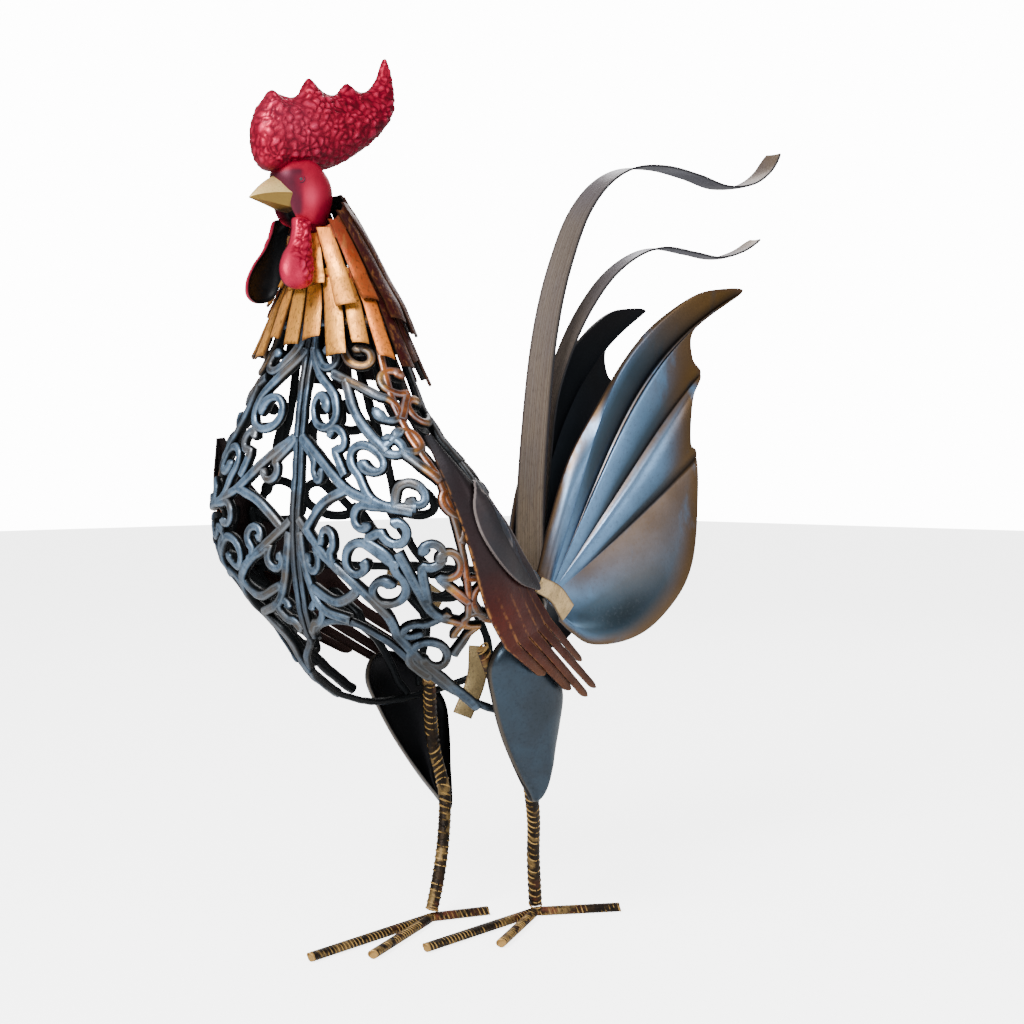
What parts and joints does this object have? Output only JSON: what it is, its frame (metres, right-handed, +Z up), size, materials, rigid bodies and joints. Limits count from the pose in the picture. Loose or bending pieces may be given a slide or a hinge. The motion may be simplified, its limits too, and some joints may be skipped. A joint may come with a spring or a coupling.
{
  "type": "rooster sculpture",
  "caption": "Standing metal rooster ornament with an openwork scroll body, cut feather collars, pressed tail leaves, ribbon plumes and bar legs.",
  "frame": {"origin": "middle of the bounding box at the height of the floor", "axes": "+Z up, the bird faces -Y, its own left side is +X"},
  "size_m": [0.2384, 0.482, 0.5282],
  "materials": {
    "comb_red": "embossed, semi-gloss crimson",
    "head_red": "smooth semi-gloss red",
    "beak_gold": "satin pale gold",
    "hackle_gold": "brushed gold and orange over brown",
    "scroll_blue": "blue-grey dry-brushed over black, with bronze",
    "wing_brown": "satin, charcoal to red-brown",
    "covert_charcoal": "satin charcoal",
    "tail_blue": "satin blue-grey with bronze ribs, dark inside",
    "ribbon_bronze": "brushed bronze over grey",
    "thigh_slate": "satin slate blue, dark inside",
    "bar_dark": "black with dry-brushed gold ribs",
    "strap_brass": "dull brass"
  },
  "bodies": {
    "root": {"body_left": "scroll_blue", "body_right": "scroll_blue", "comb": "comb_red", "head": "head_red", "beak": "beak_gold", "wattle_left": "comb_red", "wattle_right": "comb_red", "hackle_upper": "hackle_gold", "hackle_lower": "hackle_gold", "wing_left": "wing_brown", "wing_right": "wing_brown", "wing_covert_left": "covert_charcoal", "wing_covert_right": "covert_charcoal", "tail_leaf_left": "tail_blue", "tail_leaf_right": "tail_blue", "sickle_long": "ribbon_bronze", "sickle_short": "ribbon_bronze", "saddle_feather_left": "hackle_gold", "saddle_feather_right": "hackle_gold", "thigh_left": "thigh_slate", "thigh_right": "thigh_slate", "leg_left": "bar_dark", "leg_right": "bar_dark", "toe_bent_left": "bar_dark", "toe_front_left": "bar_dark", "toe_bent_right": "bar_dark", "toe_front_right": "bar_dark", "belly_strap": "strap_brass"}
  },
  "joints": []
}
